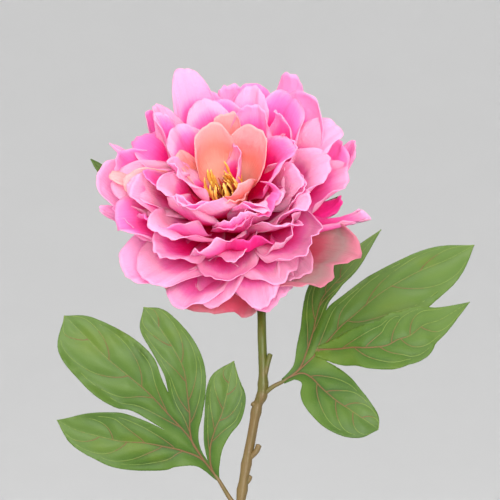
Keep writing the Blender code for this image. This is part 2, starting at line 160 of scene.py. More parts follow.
# Side shoots: their places and their radius at the start and the end
BRANCHES = (
    (((8.3, 0, 20), (3.5, 0, 26.5), (-1.6, -0.9, 35.0), (-3.6, -1.1, 37.8)), (1.35, 0.7)),
    (((20.2, -1, 77.5), (25, -2, 81.5), (30.2, -2.8, 84.3), (33.0, -2.9, 86.2)), (1.35, 0.7)),
    (((19.7, 8, 115.5), (17.2, 17, 124), (13.5, 33, 130)), (1.35, 1.2)),
    (((20.5, -1, 81), (22.2, -1.5, 91), (24, -2, 98)), (1.3, 1.3)),
    (((18.3, 0, 71), (15.2, -1, 73.5)), (1.3, 1.4)),
    (((12.8, 0, 45), (16.8, -1, 49), (18.4, -1, 52.5)), (1.3, 1.5)),
    (((10.6, 0, 32), (13.2, 0.6, 35), (13.8, 0.6, 37)), (1.3, 1.4)),
)

# The vase: share of its height and radius of its outside, in millimetres
VASE_WALL = 3.5
VASE_FLOOR = 5.0
VASE_TURNS = (
    (0.0, 23.5), (0.01, 25.0), (0.10, 29.95), (0.22, 33.2), (0.32, 34.0), (0.44, 30.3), (0.55, 23.7),
    (0.66, 15.7), (0.78, 12.5), (0.90, 12.5), (0.97, 14.05), (0.995, 15.0),
)
VASE_UNDERSIDE = ((0, 1.4), (15, 1.4), (18.5, 1.2), (20, 0.3), (21.5, 0))  # radius and height

# What sets single petals apart from their ring. A name that ends in b is one of the added petals
SPECIAL = {
    "cup_inner_1": {"azimuth": 116, "length": 41, "width": 27, "open": -9, "ruffle": 0.4, "twist": 0,
                    "crease": 0.2, "pale": 0.45},
    "cup_inner_2": {"azimuth": 196, "length": 37, "width": 22, "open": 8, "pale": 2.4,
                    "cloth": "pink_petal"},
    "cup_inner_3": {"azimuth": 335, "length": 31, "width": 22, "curl": -30},
    "cup_outer_1": {"azimuth": 54, "length": 42, "width": 34, "open": 2, "ruffle": 0.4, "twist": 0,
                    "crease": 0.2, "pale": 0.85},
    "cup_outer_2": {"azimuth": 160, "length": 34, "width": 15, "open": 2, "ruffle": 0.5},
    "cup_outer_3": {"azimuth": 285, "length": 31, "width": 26},
    "core_inner_1": {"azimuth": 22, "open": 5, "twist": 0},
    "core_inner_1b": {"azimuth": 101, "length": 42, "width": 22, "twist": 0, "curl": 0,
                      "cloth": "salmon_petal"},
    "core_inner_3": {"azimuth": 236, "length": 47, "width": 50, "open": -14, "lean": 0, "twist": 0,
                     "pale": 1.0},
    "core_inner_3b": {"pale": 1.1, "curl": 95},
    "core_outer_1b": {"open": -4, "twist": 0, "ruffle": 0.8},
    "core_outer_2": {"azimuth": 148, "length": 56, "width": 22, "point": 0.35, "twist": 0},
    "core_outer_2b": {"pale": 1.1, "curl": 90},
    "core_outer_3": {"azimuth": 252, "length": 50, "width": 24, "open": -26, "twist": 0, "curl": 0},
    "middle_inner_1": {"azimuth": 30, "length": 60, "width": 24, "open": -8, "twist": 10},
    "middle_inner_2": {"open": 4, "twist": 0, "ruffle": 1.0},
    "middle_inner_3b": {"pale": 1.2},
    "middle_inner_4b": {"pale": 1.0},
    "middle_centre_2": {"azimuth": 138, "length": 58, "width": 20, "pale": 0.8},
    "middle_centre_2b": {"pale": 1.1, "curl": 80},
    "middle_centre_4": {"pale": 0.95, "twist": 0},
    "middle_centre_4b": {"pale": 0.95},
    "middle_outer_1": {"azimuth": 26, "length": 64, "width": 36, "open": 2, "twist": 0, "pale": 1.1},
    "middle_outer_2": {"azimuth": 119.5, "length": 72, "width": 26, "open": -4, "ruffle": 0.8, "twist": 0,
                       "pale": 0.8},
    "middle_outer_4": {"length": 50, "pale": 0.15},
    "middle_outer_4b": {"pale": 1.0},
    "outer_inner_1": {"azimuth": 48, "length": 73, "width": 46, "open": -4, "curl": -10, "twist": 0,
                      "pale": 0.9},
    "outer_inner_2": {"azimuth": 101, "length": 62, "width": 24, "twist": 0},
    "outer_inner_2b": {"azimuth": 144, "length": 66, "width": 30, "point": 0.5, "twist": 12, "curl": -20},
    "outer_inner_3b": {"azimuth": 233, "length": 53, "width": 38, "pale": 0.9, "twist": 0, "round": 0.3},
    "outer_inner_4": {"pale": 0.95},
    "outer_inner_4b": {"pale": 0.8},
    "outer_inner_5": {"pale": 0.95, "twist": 0},
    "outer_centre_1b": {"azimuth": 69, "length": 81, "width": 42, "point": 0.35, "open": -6, "twist": 0,
                        "lean": -4, "curl": 0, "round": 0.75, "pale": 0.9},
    "outer_centre_2": {"azimuth": 90, "length": 67, "width": 24, "pale": 1.3, "ruffle": 3.0},
    "outer_centre_2b": {"azimuth": 151, "length": 70, "width": 24, "point": 0.7, "twist": 15, "pale": 0.7},
    "outer_centre_3": {"azimuth": 176, "length": 70, "width": 44, "open": -6, "pale": 0.9, "twist": 0},
    "outer_centre_3b": {"azimuth": 212, "length": 58, "width": 40, "pale": 0.95, "twist": 0, "round": 0.3},
    "outer_centre_5": {"pale": 0.85},
    "outer_centre_5b": {"azimuth": 347, "length": 69, "width": 20, "point": 0.8, "twist": 35, "curl": 20,
                        "open": 10, "ruffle": 4.5, "pale": 0.5},
    "outer_outer_1": {"azimuth": 33, "length": 72, "width": 30, "point": 0.4, "twist": 0},
    "outer_outer_3": {"azimuth": 187, "length": 66, "width": 24, "point": 0.6, "pale": 0.8},
    "outer_outer_3b": {"length": 42},
    "outer_outer_5": {"azimuth": 316, "length": 50, "pale": 0.8},
    "outer_outer_5b": {"azimuth": 7, "length": 55, "width": 30, "point": 0.6, "pale": 0.1, "twist": 10},
    "guard_1": {"azimuth": 324, "length": 72, "width": 54, "ruffle": 2.6, "round": 0.2, "notch": 0.08,
                "pale": 0.5},
    "guard_4": {"azimuth": 236, "length": 44},
    "guard_5": {"azimuth": 264, "length": 50, "width": 64, "ruffle": 2.6, "round": 0.24, "notch": 0.1,
                "notch_at": 0.25, "pale": 0.12},
}

# Narrow petals between the rings, whose pale tips fold over:
# shell, azimuth, length, width, curl, twist, paleness, slot
FOLDED_TIPS = (
    (0.46, 180, 58, 22, 60, 20, 1.2, "salmon_petal"),
    (0.30, 191, 52, 22, 65, -25, 1.0, "salmon_petal"),
    (0.29, 208, 39, 20, 85, 20, 1.4, "pink_petal"),
    (0.22, 296, 42, 22, 40, 30, 1.1, "pink_petal"),
    (0.20, 316, 47, 22, 75, -30, 1.2, "pink_petal"),
    (0.29, 352, 49, 26, 45, 40, 1.3, "pink_petal"),
    (0.44, 320, 59, 26, 40, -35, 1.0, "pink_petal"),
    (-0.06, 58, 31, 18, -15, -30, 1.2, "pink_petal"),
    (0.10, 250, 49, 28, 40, 0, 0.8, "pink_petal"),
    (0.45, 288, 43, 28, 30, 15, 0.7, "pink_petal"),
)

# Light: name, place and size in metres, and power in watts
SKY_STRENGTH = 1.4
SOFTBOXES = (
    ("key_softbox", (-0.75, -0.9, 1.35), 0.9, 12),
    ("front_softbox", (0.2, -1.6, 0.55), 1.0, 38),
    ("top_softbox", (0.1, 0.35, 1.3), 0.8, 8),
)


def ease(value):
    value = min(max(value, 0), 1)
    return value * value * (3 - 2 * value)


def between(pair, share):
    return pair[0] + (pair[1] - pair[0]) * share


def dye(red, green, blue):
    """A colour given as 0 to 255 display values, for a shader."""
    shares = (part / 255 for part in (red, green, blue))
    return (*(part / 12.92 if part <= 0.04045 else ((part + 0.055) / 1.055) ** 2.4 for part in shares), 1)


# --- finishes --------------------------------------------------------------------------------------

class Value:
    """A number that changes over a surface. Arithmetic on it adds Math nodes to its finish."""

    def __init__(self, finish, socket):
        self.finish = finish
        self.socket = socket

    def maths(self, operation, first, second=0.0):
        return self.finish.node("Math", {"operation": operation}, {0: first, 1: second})

    def __add__(self, other):
        return self.maths("ADD", self, other)

    __radd__ = __add__

    def __sub__(self, other):
        return self.maths("SUBTRACT", self, other)

    def __rsub__(self, other):
        return self.maths("SUBTRACT", other, self)

    def __mul__(self, other):
        return self.maths("MULTIPLY", self, other)

    __rmul__ = __mul__

    def __pow__(self, other):
        return self.maths("POWER", self, other)

    def __abs__(self):
        return self.maths("ABSOLUTE", self)

    def rising(self, low, high):
        """0 below low, 1 above high and smooth between."""
        sockets = {"Value": self, "From Min": low, "From Max": high}
        return self.finish.node("MapRange", {"interpolation_type": "SMOOTHSTEP"}, sockets)


class Finish:
    """A material of shader nodes, made one call at a time."""

    def __init__(self, name):
        self.material = bpy.data.materials.new(name)
        self.material.use_nodes = True
        self.tree = self.material.node_tree
        self.tree.nodes.clear()

    def node(self, kind, settings=None, sockets=None, output=0):
        made = self.tree.nodes.new("ShaderNode" + kind)
        for name, value in (settings or {}).items():
            if name == "stops":
                self.set_stops(made.color_ramp.elements, value)
            else:
                setattr(made, name, value)
        for name, value in (sockets or {}).items():
            if isinstance(value, Value):
                self.tree.links.new(value.socket, made.inputs[name])
            else:
                made.inputs[name].default_value = value
        return Value(self, made.outputs[output])

    @staticmethod
    def set_stops(elements, stops):
        while len(elements) < len(stops):
            elements.new(1.0)
        for element, (place, colour) in zip(elements, stops):
            element.position = place
            element.color = colour

    def ramp(self, share, *stops):
        return self.node("ValToRGB", {"stops": stops}, {0: share})

    def blend(self, share, first, second):
        return self.node("Mix", {"data_type": "RGBA"}, {0: share, 6: first, 7: second}, output=2)

    def place(self, stretch=(1, 1, 1)):
        """Object coordinates, stretched."""
        here = self.node("TexCoord", output=3)
        return self.node("Mapping", {}, {"Vector": here, "Scale": stretch})

    def sheet_place(self, layer):
        """Where a point is on its sheet, across and along, as its map says."""
        spot = self.node("UVMap", {"uv_map": layer})
        return self.node("SeparateXYZ", {}, {0: spot}), self.node("SeparateXYZ", {}, {0: spot}, output=1)

    def spots(self, scale, detail=2.0, where=None):
        """Soft noise from 0 to 1."""
        where = where or self.place()
        return self.node("TexNoise", {}, {"Vector": where, "Scale": scale, "Detail": detail})

    def attribute(self, name):
        return self.node("Attribute", {"attribute_name": name}, output=2)

    def bump(self, height, strength, depth):
        sockets = {"Height": height, "Strength": strength, "Distance": depth * MM}
        return self.node("Bump", {}, sockets)

    def glow(self, colour, normal):
        """What lets light through and dyes it one even colour."""
        return self.node("BsdfTranslucent", {}, {"Color": colour, "Normal": normal})

    def mixed(self, share, first, second):
        """Two shaders, with this share of the second."""
        return self.node("MixShader", {}, {0: share, 1: first, 2: second})

    def surface(self, colour, roughness, normal=None, share_through=0.0, glow=None, **constants):
        """Ends the material: a plain surface, with a share of it letting light through."""
        sockets = {"Base Color": colour, "Roughness": roughness}
        if normal:
            sockets["Normal"] = normal
        sockets.update({name.replace("_", " "): value for name, value in constants.items()})
        shader = self.node("BsdfPrincipled", {}, sockets)
        if share_through:
            shader = self.mixed(share_through, shader, glow)
        end = self.tree.nodes.new("ShaderNodeOutputMaterial")
        self.tree.links.new(shader.socket, end.inputs["Surface"])
        return self.material


def petal_cloth(name, throat, deep, body, blush, rim):
    """Dyed cloth: dark at the claw, pale towards the edge, crumpled and finely woven."""
    cloth = Finish(name)
    across, along = cloth.sheet_place("petal")
    side = abs(across * 2 - 1)
    streaks = cloth.spots(1.0, 3.0, cloth.node("Mapping", {}, {
        "Vector": cloth.node("UVMap", {"uv_map": "petal"}), "Scale": (40, 2.4, 1)}))
    clouds = cloth.spots(55.0, 2.0)
    fade = along + side * side * 0.16 + (clouds - 0.5) * 0.30 + (streaks - 0.5) * 0.12
    fade = fade + (cloth.attribute("pale") - 0.5) * along * along * 0.9
    colour = cloth.ramp(fade, (0.10, throat), (0.42, deep), (0.62, body), (0.86, blush), (1.0, rim))
    edge = ((side ** 18) * 0.5 + (along ** 22) * 0.7) * cloth.attribute("pale")
    colour = cloth.blend(edge, colour, rim)
    weave = cloth.spots(2600.0, 1.0)
    crumple = cloth.spots(210.0, 3.0)
    height = weave * 0.10 + crumple * 0.8 + streaks * 0.6
    normal = cloth.bump(height, 0.6, 1.1)
    glow = cloth.mixed(fade.rising(0.15, 0.95), cloth.glow(deep, normal), cloth.glow(blush, normal))
    return cloth.surface(colour, 0.7 + (crumple - 0.5) * 0.2, normal, PETAL_LETS_THROUGH, glow,
                         Specular_IOR_Level=0.12)


def leaf_cloth():
    """Printed leaf cloth with painted shade: darker along the vein valleys where the blade sinks; paler and
    greyer towards the tips, finely woven.
    """
    cloth = Finish("leaf_cloth")
    out = cloth.attribute("from_vein")
    tipward = cloth.attribute("tipward")
    clouds = cloth.spots(60.0, 2.0)
    patches = cloth.spots(34.0, 1.0, cloth.place((1, 1, 1.6)))
    grain = cloth.spots(1400.0, 2.0)
    # The ramp's dark end near the veins (small from_vein) is painted shade in the valleys at the ribs and
    # veins, not the leaf's own colour.
    colour = cloth.ramp(out * 0.16 + (clouds - 0.5) * 0.5 + 0.08, (0.0, dye(32, 57, 8)),
                        (0.3, dye(57, 87, 17)), (0.9, dye(71, 98, 27)))
    colour = cloth.blend(tipward.rising(0.3, 1.0) * 0.7, colour, dye(86, 109, 50))
    colour = cloth.blend(patches.rising(0.55, 0.75) * 0.45, colour, dye(89, 108, 22))
    colour = cloth.blend((1 - patches).rising(0.55, 0.75) * 0.4, colour, dye(46, 77, 23))
    colour = cloth.blend(grain.rising(0.5, 0.8) * 0.18, colour, dye(100, 121, 56))
    normal = cloth.bump(grain * 0.35 + clouds * 0.3, 0.5, 0.35)
    return cloth.surface(colour, 0.52 + (grain - 0.5) * 0.25, normal, 0.12,
                         cloth.glow(dye(84, 124, 30), normal), Specular_IOR_Level=0.25)


def vein_cord():
    """Veins: brown where they leave the leaf's base, yellow-green at their ends."""
    cord = Finish("vein_cord")
    mottle = cord.spots(420.0, 2.0)
    fade = cord.attribute("along") + (mottle - 0.5) * 0.5
    colour = cord.ramp(fade, (0.12, dye(96, 68, 34)), (0.42, dye(91, 76, 31)), (0.66, dye(91, 113, 39)))
    normal = cord.bump(mottle, 0.4, 0.3)
    return cord.surface(colour, 0.55 + (mottle - 0.5) * 0.2, normal, Specular_IOR_Level=0.35)


def stem_skin():
    """Moulded stem: olive above, brown below, streaked along its length."""
    skin = Finish("moulded_stem")
    height = skin.node("SeparateXYZ", {}, {0: skin.place()}, output=2)
    streaks = skin.spots(1.0, 4.0, skin.place((900, 900, 60)))
    blotches = skin.spots(160.0, 3.0)
    turn = (height - LIP.z) * 10 + (blotches - 0.5) * 0.5
    colour = skin.ramp(turn, (0.25, dye(101, 82, 45)), (0.72, dye(94, 74, 39)), (0.94, dye(70, 77, 15)))
    colour = skin.blend(streaks.rising(0.45, 0.75) * 0.45, colour, dye(70, 70, 12))
    colour = skin.blend((blotches.rising(0.6, 0.75)) * 0.3, colour, dye(87, 60, 35))
    normal = skin.bump(streaks * 0.7 + skin.spots(700.0, 2.0) * 0.3, 0.6, 0.5)
    return skin.surface(colour, 0.5 + (streaks - 0.5) * 0.3, normal, Specular_IOR_Level=0.4)


def vase_glaze():
    """Off-white gloss glaze with faint throwing rings and fine specks, over a bare foot."""
    glaze = Finish("off_white_glaze")
    height = glaze.node("SeparateXYZ", {}, {0: glaze.place()}, output=2)
    clouds = glaze.spots(28.0, 3.0)
    specks = glaze.spots(1500.0, 1.0).rising(0.70, 0.76)
    rings = glaze.spots(1.0, 2.0, glaze.place((12, 12, 260)))
    bare = 1 - height.rising(0.0012, 0.0020)
    colour = glaze.blend(clouds, dye(168, 165, 156), dye(179, 177, 170))
    colour = glaze.blend(specks * 0.55, colour, dye(112, 95, 77))
    colour = glaze.blend(bare, colour, dye(146, 132, 114))
    normal = glaze.bump(rings * 0.8 + clouds * 0.5, 0.35, 0.6)
    return glaze.surface(colour, bare * 0.6 + (clouds - 0.5) * 0.08 + 0.16, normal, Coat_Roughness=0.06,
                         Coat_Weight=0.4)


def thread_finish(name, root, shaft, tip):
    """Soft threads whose colour changes from the root to the tip."""
    thread = Finish(name)
    along = thread.attribute("along")
    mottle = thread.spots(700.0, 2.0)
    colour = thread.ramp(along + (mottle - 0.5) * 0.25, (0.05, root), (0.3, shaft), (0.95, tip))
    normal = thread.bump(mottle, 0.5, 0.3)
    return thread.surface(colour, 0.6 + (mottle - 0.5) * 0.2, normal, 0.3, thread.glow(shaft, normal))


def receptacle_skin():
    skin = Finish("receptacle_skin")
    mottle = skin.spots(300.0, 3.0)
    colour = skin.blend(mottle, dye(86, 101, 43), dye(126, 131, 68))
    return skin.surface(colour, 0.6 + (mottle - 0.5) * 0.2, skin.bump(mottle, 0.5, 0.4))


# --- making and handing over pieces ----------------------------------------------------------------

def new_piece(name, points, faces, finish, edges=()):
    mesh = bpy.data.meshes.new(name)
    mesh.from_pydata([tuple(p) for p in points], list(edges), faces)
    mesh.materials.append(finish)
    mesh.shade_smooth()
    piece = bpy.data.objects.new(name, mesh)
    bpy.context.scene.collection.objects.link(piece)
    return piece


def settle(piece):
    """Applies the piece's modifiers, so that a plain mesh is left."""
    view = bpy.context.evaluated_depsgraph_get()
    mesh = bpy.data.meshes.new_from_object(piece.evaluated_get(view), depsgraph=view)
    finished = bpy.data.objects.new(piece.name, mesh)
    name = piece.name
    bpy.data.objects.remove(piece)
    finished.name = name
    bpy.context.scene.collection.objects.link(finished)
    return finished


def hand_over(piece, slot, *nodes):
    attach(piece, "root")
    if nodes:
        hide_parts(*nodes)


def thicken(piece, thickness):
    solid = piece.modifiers.new("Cloth", "SOLIDIFY")
    solid.thickness = thickness * MM
    solid.offset = 0
    return settle(piece)


def joined(name, pieces):
    """Several pieces as one mesh."""
    shape = bmesh.new()
    for piece in pieces:
        shape.from_mesh(piece.data)
    mesh = pieces[0].data.copy()
    shape.to_mesh(mesh)
    shape.free()
    for piece in pieces:
        bpy.data.objects.remove(piece)
    made = bpy.data.objects.new(name, mesh)
    bpy.context.scene.collection.objects.link(made)
    return made


# --- petals ----------------------------------------------------------------------------------------

def flower_frame():
    """The flower's space as a matrix: right, up and outwards."""
    upward = (Vector((0, 0, 1)) - FLOWER_AXIS * FLOWER_AXIS.z).normalized()
    turned = Matrix((upward.cross(FLOWER_AXIS), upward, FLOWER_AXIS)).transposed().to_4x4()
    return Matrix.Translation(FLOWER_CENTRE) @ turned @ Matrix.Scale(MM, 4)


PLAIN_PETAL = {
    "open": 0.0,  # degrees that the tip leans outwards
    "curl": 0.0,  # degrees that the last third turns outwards
    "lean": 0.0,  # degrees that the petal points sideways
    "cup": 0.016,  # how much its sides rise, per millimetre
    "twist": 0.0,
    "ruffle": 1.3,  # millimetres
    "crease": 0.8,
    "round": 0.36,
    "notch": 0.0,
    "notch_at": 0.0,
    "claw": 0.28,
    "widest": 0.68,
    "point": 0.0,
    "pale": 0.5,
}


def midline(shell, length, more_open, curl):
    """Radius, height and heading of a shell, step by step from the receptacle."""
    steps = 60
    step = length * 1.06 / steps
    polar = math.radians(between(BASE_POLAR, shell))
    radius = RECEPTACLE_RADIUS * math.sin(polar)
    height = RECEPTACLE_RADIUS * math.cos(polar)
    line = []
    for k in range(steps + 1):
        share = k * step / TURN_LENGTH
        turned = ease(share / 2) + 0.5 * min(share, 1.3)
        heading = between((between(BASE_HEADING, shell), between(TIP_HEADING, shell)), turned)
        heading = math.radians(heading + more_open * ease(share) + curl * ease((k / steps - 0.62) / 0.38))
        line.append((radius, height, heading))
        radius += step * math.sin(heading)
        height += step * math.cos(heading)
    return line, step


def half_width(along, look):
    rise = look["claw"] + (1 - look["claw"]) * ease(along / look["widest"])
    fall = 1 - 0.14 * ease((along - look["widest"]) / look["widest"])
    point = 1 - look["point"] * ease((along - 0.35) / 0.65)
    return rise * fall * point


def petal_points(shell, look):
    """The middle surface of one petal, row by row, in the flower's space."""
    chance = random.Random(look["seed"])
    length, width = look["length"], look["width"]
    phase = [chance.uniform(0, math.tau) for _ in range(6)]
    waves = (chance.uniform(1.1, 1.9), chance.uniform(0.7, 1.3), chance.uniform(2.2, 3.4))
    line, step = midline(shell, length, look["open"], look["curl"])
    turn = math.radians(look["azimuth"])
    offset = Vector((chance.uniform(0, 99), chance.uniform(0, 99), chance.uniform(0, 99)))
    points = []
    for row in range(PETAL_ROWS + 1):
        along = row / PETAL_ROWS
        for column in range(PETAL_COLUMNS + 1):
            across = 2 * column / PETAL_COLUMNS - 1
            side = abs(across)
            reach = 1 - look["round"] * side ** 2.8 + 0.015 * math.sin(4.1 * across + phase[0])
            reach += 0.016 * noise.noise(offset + Vector((6 * across, 0, 0)))
            reach -= look["notch"] * math.exp(-(((across - look["notch_at"]) / 0.16) ** 2))
            path = min(max(along * length * reach / step, 0), len(line) - 1.001)
            low = int(path)
            radius, height, heading = (between(pair, path - low) for pair in zip(line[low], line[low + 1]))
            bend = math.cos(heading) / max(radius, 6.0) + look["cup"] * ease(along * 1.4)
            bend = bend if abs(bend) > 1e-5 else 1e-5
            flat = across * width / 2 * half_width(along, look)
            angle = min(max(flat * bend, -2.6), 2.6)
            sideways = math.sin(angle) / bend
            inwards = (1 - math.cos(angle)) / bend
            edge = side ** 2.2 * ease(along * 1.25)
            wave = edge * math.sin(math.tau * waves[0] * along + phase[2] + 1.3 * across)
            wave += 0.8 * along ** 3 * math.sin(math.tau * waves[1] * across + phase[3])
            wave += 0.35 * along ** 4 * math.sin(math.tau * waves[2] * across + phase[4] + 2 * along)
            crease = look["crease"] * math.exp(-((across / 0.22) ** 2)) * math.sin(math.pi * along)
            spot = Vector((flat * 0.11, along * length * 0.07, 0)) + offset
            crumple = noise.noise(spot) * (0.5 + 0.8 * shell) + 0.45 * noise.noise(spot * 2.7)
            push = look["ruffle"] * wave - 0.8 * crease + crumple * along
            twist = math.radians(look["twist"]) * ease(along)
            facing = (-math.cos(heading), math.sin(heading))
            lifted = inwards + math.sin(twist) * sideways + math.cos(angle) * push
            out = radius + facing[0] * lifted
            up = height + facing[1] * lifted
            round_by = sideways * math.cos(twist) - math.sin(angle) * push
            round_by += math.tan(math.radians(look["lean"])) * along * length * reach * ease(along)
            points.append(Vector((
                out * math.cos(turn) - round_by * math.sin(turn),
                out * math.sin(turn) + round_by * math.cos(turn),
                up,
            )))
    return points


def sheet_faces(columns, rows):
    wide = columns + 1
    return [
        (row * wide + k, row * wide + k + 1, (row + 1) * wide + k + 1, (row + 1) * wide + k)
        for row in range(rows)
        for k in range(columns)
    ]


def lay_map(piece, name, places):
    """Gives the piece a map from its vertices' places on the sheet."""
    layer = piece.data.uv_layers.new(name=name)
    for loop in piece.data.loops:
        layer.data[loop.index].uv = places[loop.vertex_index]


def mark(piece, name, values):
    """Writes a number on each vertex: one number for all, or a list with one for each."""
    layer = piece.data.attributes.new(name, "FLOAT", "POINT")
    each = values if isinstance(values, list) else [values] * len(piece.data.vertices)
    layer.data.foreach_set("value", each)


def sew_petal(name, shell, look, cloth):
    look = {**PLAIN_PETAL, **look}
    points = petal_points(shell, look)
    space = flower_frame()
    faces = sheet_faces(PETAL_COLUMNS, PETAL_ROWS)
    piece = new_piece(name, [space @ p for p in points], faces, cloth)
    places = [
        (column / PETAL_COLUMNS, row / PETAL_ROWS)
        for row in range(PETAL_ROWS + 1)
        for column in range(PETAL_COLUMNS + 1)
    ]
    lay_map(piece, "petal", places)
    mark(piece, "pale", look["pale"])
    return thicken(piece, PETAL_CLOTH)


def make_petals(cloths):
    for ring, count, shell, start, length, width, slot in RINGS:
        chance = random.Random(ring)
        names = [
            (f"{ring}_{k + 1}", start + 360 * k / count, shell, f"petal_{ring}_{k + 1}") for k in range(count)
        ]
        if ring in FILLED_RINGS:
            names += [
                (f"{ring}_{k + 1}b", start + 360 * (k + 0.5) / count, shell + FILLED_SHELL_STEP, None)
                for k in range(count)
            ]
        for name, azimuth, layer, node in names:
            low = max(0, -math.sin(math.radians(azimuth)))
            shorter = 0.2 * low if shell > OPEN_FROM_SHELL else 0
            look = {
                "azimuth": azimuth + chance.uniform(-8, 8),
                "length": length * chance.uniform(0.92, 1.08) * (1 - shorter),
                "width": width * chance.uniform(0.9, 1.15),
                "open": chance.uniform(-7, 7) + low * (18 if shell > OPEN_FROM_SHELL else -16),
                "curl": chance.uniform(-25, 40 if shell > OPEN_FROM_SHELL else 85),
                "lean": chance.uniform(-10, 10),
                "twist": chance.uniform(-22, 22),
                "ruffle": chance.uniform(0.8, 2.4),
                "pale": chance.uniform(0.3, 0.7),
                "cloth": slot,
                "seed": chance.randrange(1000),
            }
            if slot == "salmon_petal":
                look["curl"] = look["curl"] * 0.3
            look.update(SPECIAL.get(name, {}))
            piece = sew_petal(f"{name}_petal", layer, look, cloths[look["cloth"]])
            hand_over(piece, look["cloth"], *filter(None, [node]))


def make_folded_tips(cloths):
    for k, (shell, azimuth, length, width, curl, twist, pale, slot) in enumerate(FOLDED_TIPS):
        look = {"azimuth": azimuth, "length": length, "width": width, "curl": curl, "twist": twist,
                "pale": pale, "cup": 0.03, "seed": k}
        hand_over(sew_petal(f"folded_tip_{k + 1}", shell, look, cloths[slot]), slot)


def make_sepals(cloth):
    for k, (azimuth, length, width) in enumerate(SEPALS):
        look = {"azimuth": azimuth, "length": length, "width": width, "seed": k, "point": 0.96, "claw": 0.5,
                "widest": 0.4, "round": 0.0, "ruffle": 0.5, "curl": 12}
        piece = sew_petal(f"sepal_{k + 1}_cloth", SEPAL_SHELL, look, cloth)
        mark(piece, "from_vein", 2.0)
        mark(piece, "tipward", 0.2)
        hand_over(piece, "sepal", f"sepal_{k + 1}")


def make_receptacle():
    """The green boss that the petals are fixed to, slightly ribbed towards the stem."""
    radius = RECEPTACLE_RADIUS - 1.2
    columns, rows = 40, 24
    points = [Vector((0, 0, -radius))]
    for row in range(1, rows):
        polar = math.pi * row / rows
        for k in range(columns):
            turn = math.tau * k / columns
            rib = 1 + 0.03 * math.cos(5 * turn) * math.sin(polar)
            points.append(radius * rib * Vector((
                math.sin(polar) * math.cos(turn),
                math.sin(polar) * math.sin(turn),
                -math.cos(polar),
            )))
    points.append(Vector((0, 0, radius)))
    faces = [tuple(reversed(face)) for face in turned_faces(rows + 1, columns)]
    space = flower_frame()
    piece = new_piece("receptacle_boss", [space @ p for p in points], faces, receptacle_skin())
    face_outwards(piece)
    hand_over(piece, "receptacle", "receptacle")


def turned_faces(rows, steps):
    """Faces of a turned skin whose first and last rows are single points."""
    faces = []
    last = 1 + (rows - 2) * steps
    for k in range(steps):
        after = (k + 1) % steps
        faces.append((0, 1 + after, 1 + k))
        for row in range(rows - 3):
            low = 1 + row * steps
            high = low + steps
            faces.append((low + k, low + after, high + after, high + k))
        top = 1 + (rows - 3) * steps
        faces.append((top + k, top + after, last))
    return faces


def face_outwards(piece):
    shape = bmesh.new()
    shape.from_mesh(piece.data)
    bmesh.ops.recalc_face_normals(shape, faces=shape.faces)
    shape.to_mesh(piece.data)
    shape.free()


# --- threads by geometry nodes ---------------------------------------------------------------------

class NodeTree:
    """A geometry tree with named inputs, made one call at a time."""

    def __init__(self, name, **inputs):
        self.tree = bpy.data.node_groups.new(name, "GeometryNodeTree")
        self.tree.interface.new_socket("Geometry", in_out="INPUT", socket_type="NodeSocketGeometry")
        for label, (kind, value) in inputs.items():
            made = self.tree.interface.new_socket(label, in_out="INPUT", socket_type="NodeSocket" + kind)
            if value is not None:
                made.default_value = value
        self.tree.interface.new_socket("Geometry", in_out="OUTPUT", socket_type="NodeSocketGeometry")
        self.start = self.tree.nodes.new("NodeGroupInput")

    def node(self, kind, settings=None, sockets=None, output=0):
        made = self.tree.nodes.new(kind)
        for name, value in (settings or {}).items():
            setattr(made, name, value)
        for name, value in (sockets or {}).items():
            if isinstance(value, bpy.types.NodeSocket):
                self.tree.links.new(value, made.inputs[name])
            else:
                made.inputs[name].default_value = value
        return made.outputs[output]

    def maths(self, operation, first, second=0.0):
        return self.node("ShaderNodeMath", {"operation": operation}, {0: first, 1: second})

    def chance(self, low, high, seed):
        sockets = {2: low, 3: high, "Seed": seed}
        return self.node("FunctionNodeRandomValue", {"data_type": "FLOAT"}, sockets, output=1)

    def end(self, geometry, finish):
        real = self.node("GeometryNodeRealizeInstances", {}, {"Geometry": geometry})
        smooth = self.node("GeometryNodeSetShadeSmooth", {}, {"Geometry": real})
        done = self.node("GeometryNodeSetMaterial", {}, {"Geometry": smooth, "Material": finish})
        out = self.tree.nodes.new("NodeGroupOutput")
        self.tree.links.new(done, out.inputs[0])
        return self.tree


def run_tree(piece, tree, **values):
    """Gives the piece a tree with its inputs, and returns the plain mesh that comes out."""
    growing = piece.modifiers.new("Nodes", "NODES")
    growing.node_group = tree
    for item in tree.interface.items_tree:
        if item.in_out == "INPUT" and item.name in values:
            growing[item.identifier] = values[item.name]
    return settle(piece)


def cord_tree():
    """Turns loose edges into round cords. Each point's radius is its attribute named thick."""
    tree = NodeTree("cord_tree", Sides=("Int", 6), Finish=("Material", None))
    line = tree.node("GeometryNodeMeshToCurve", {}, {"Mesh": tree.start.outputs["Geometry"]})
    thick = tree.node("GeometryNodeInputNamedAttribute", {"data_type": "FLOAT"}, {"Name": "thick"})
    ring = tree.node("GeometryNodeCurvePrimitiveCircle", {"mode": "RADIUS"},
                     {"Resolution": tree.start.outputs["Sides"], "Radius": 1.0})
    sockets = {"Curve": line, "Profile Curve": ring, "Fill Caps": True, "Scale": thick}
    cords = tree.node("GeometryNodeCurveToMesh", {}, sockets)
    return tree.end(cords, tree.start.outputs["Finish"])


